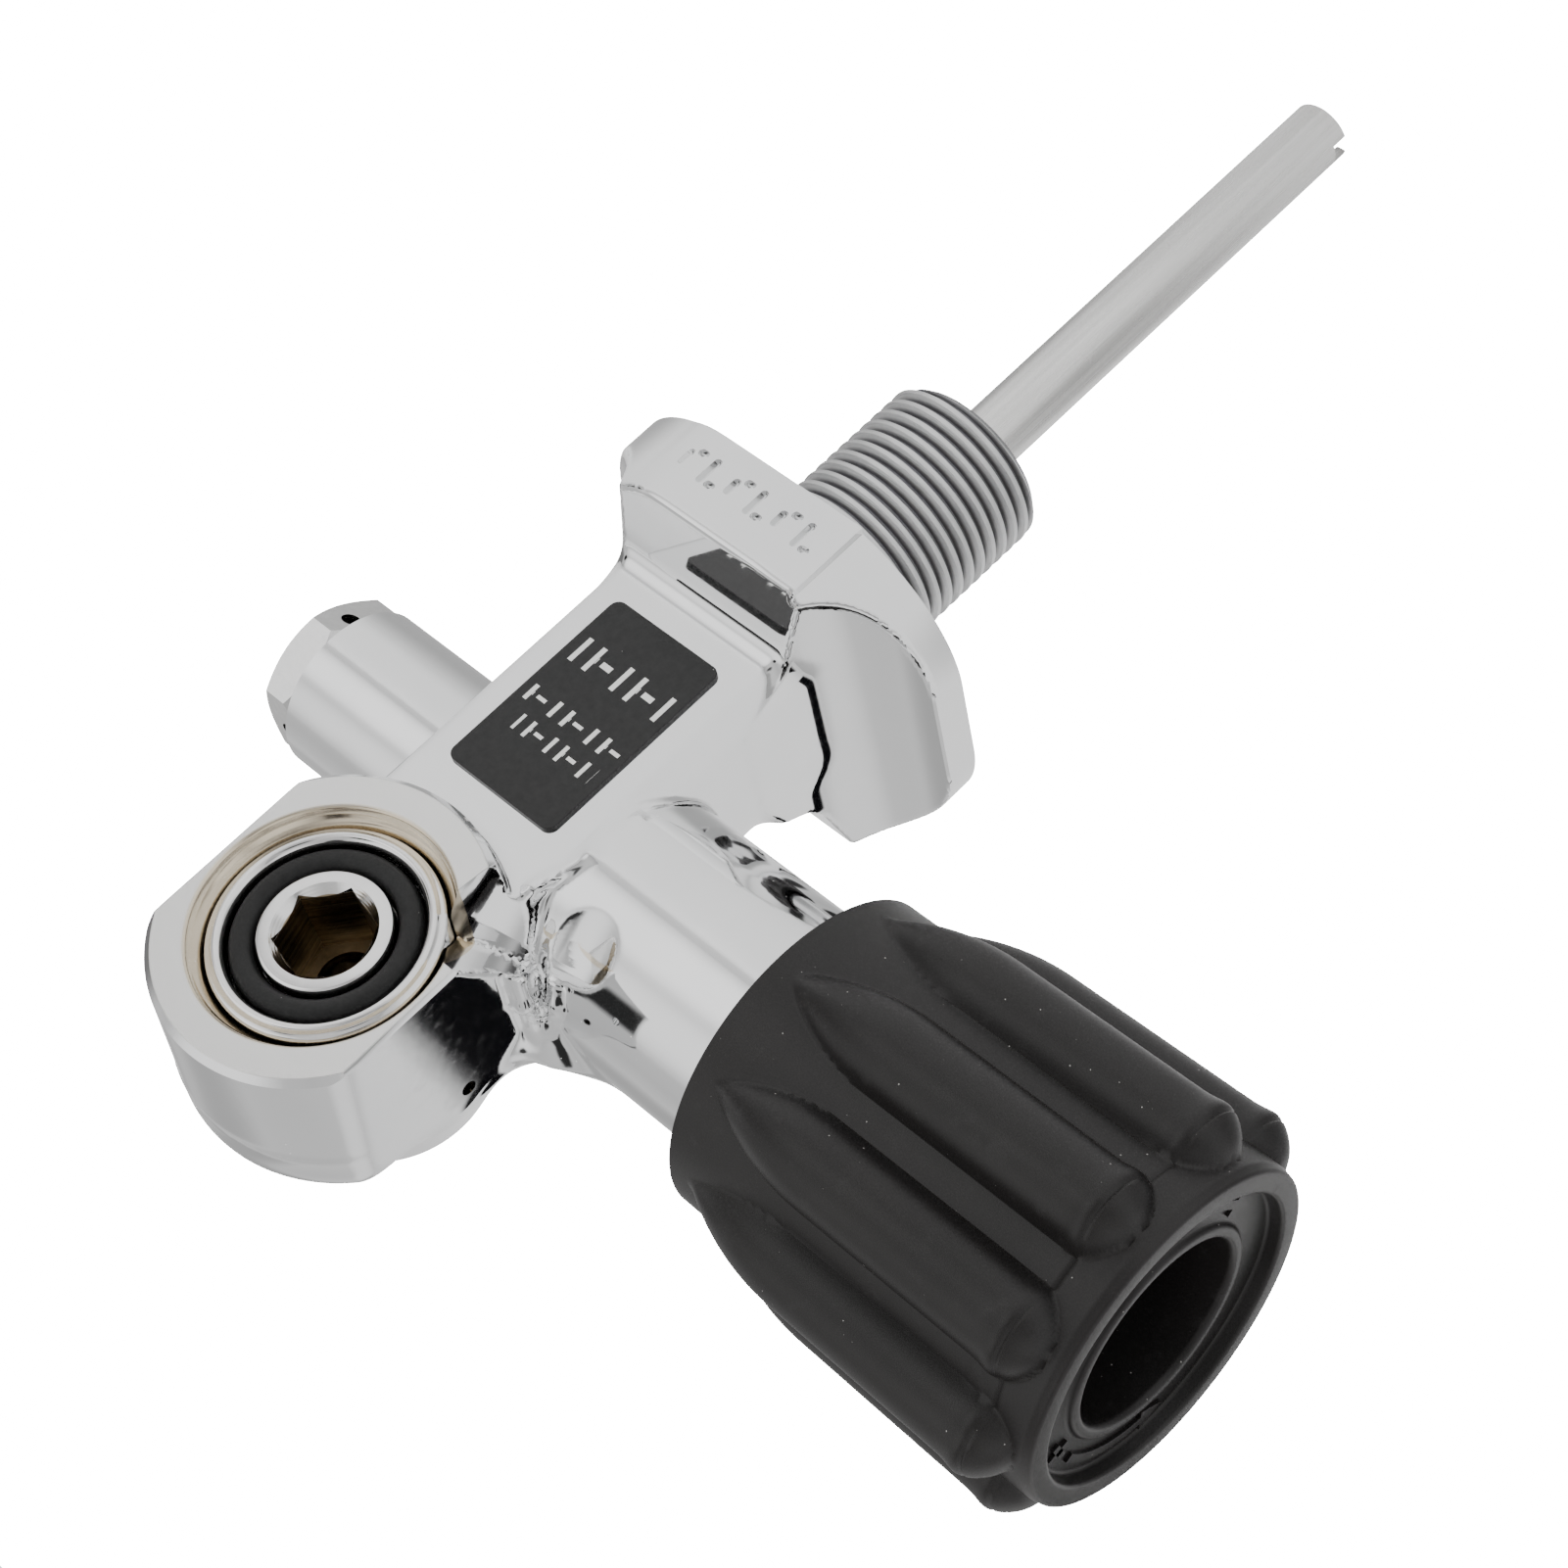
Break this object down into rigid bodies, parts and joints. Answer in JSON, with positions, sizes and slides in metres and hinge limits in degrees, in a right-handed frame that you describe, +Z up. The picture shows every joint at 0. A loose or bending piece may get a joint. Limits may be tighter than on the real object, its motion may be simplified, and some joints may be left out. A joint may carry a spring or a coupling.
{
  "type": "scuba cylinder valve",
  "caption": "Chromed scuba cylinder valve with a ribbed rubber handwheel, a convertible round outlet, a burst-disc plug, a threaded neck and a dip tube.",
  "frame": {"origin": "centre of the neck at the flange's underside, which seats on the tank", "axes": "+Z up the tank axis away from the tank, -Y out of the outlet, -X out along the handwheel, +X out along the safety plug"},
  "size_m": [0.1049, 0.0402, 0.1471],
  "materials": {
    "chrome": "bright plated, machined faces satin",
    "steel": "satin",
    "brass": "machined",
    "copper": "soft sheet",
    "rubber": "moulded satin",
    "seal_rubber": "smooth",
    "nylon": "natural",
    "hub_plastic": "moulded",
    "label_film": "printed film"
  },
  "bodies": {
    "valve": {"valve_body": "chrome", "neck_o_ring": "seal_rubber", "dip_tube": "steel", "safety_washer": "copper", "burst_disc": "copper", "safety_plug": "chrome", "bonnet_nut": "chrome", "bonnet_o_ring": "seal_rubber", "friction_washer": "nylon", "rating_label": "label_film"},
    "stem": {"valve_stem": "steel", "stem_inner_o_ring": "seal_rubber", "stem_outer_o_ring": "seal_rubber", "stem_thrust_washer": "nylon", "handwheel_spring": "steel", "handwheel_washer": "steel", "handwheel_nut": "steel"},
    "carrier": {"seat_carrier": "brass", "seat_pad": "nylon"},
    "handwheel": {"handwheel_grip": "rubber", "handwheel_hub": "hub_plastic"},
    "insert_seals": {"outlet_face_o_ring": "seal_rubber", "insert_rear_o_ring": "seal_rubber"},
    "insert": {"outlet_insert": "chrome"}
  },
  "joints": [
    {"name": "handwheel_turn", "type": "hinge", "parent": "valve", "child": "stem", "pos_m": [-0.042, 0, 0.03466], "axis": [-1, 0, 0], "range_deg": [0, 900]},
    {"name": "seat_travel", "type": "slide", "parent": "stem", "child": "carrier", "axis": [-1, 0, 0], "range_m": [0, 0.0032]},
    {"name": "handwheel_float", "type": "slide", "parent": "stem", "child": "handwheel", "axis": [-1, 0, 0], "range_m": [0, 0.0015], "stiffness_N_per_m": 4000, "springref_m": -0.001, "deforming": ["handwheel_spring"]},
    {"name": "insert_travel", "type": "slide", "parent": "valve", "child": "insert_seals", "axis": [0, -1, 0], "range_m": [0, 0.0155]},
    {"name": "insert_turn", "type": "hinge", "parent": "insert_seals", "child": "insert", "pos_m": [0, 0, 0.0563], "axis": [0, -1, 0], "range_deg": [0, 3060]}
  ],
  "couplings": [
    {"joint": "seat_travel", "follows": "handwheel_turn", "m_per_rad": 0.00019894},
    {"joint": "insert_travel", "follows": "insert_turn", "m_per_rad": 0.00028871}
  ]
}
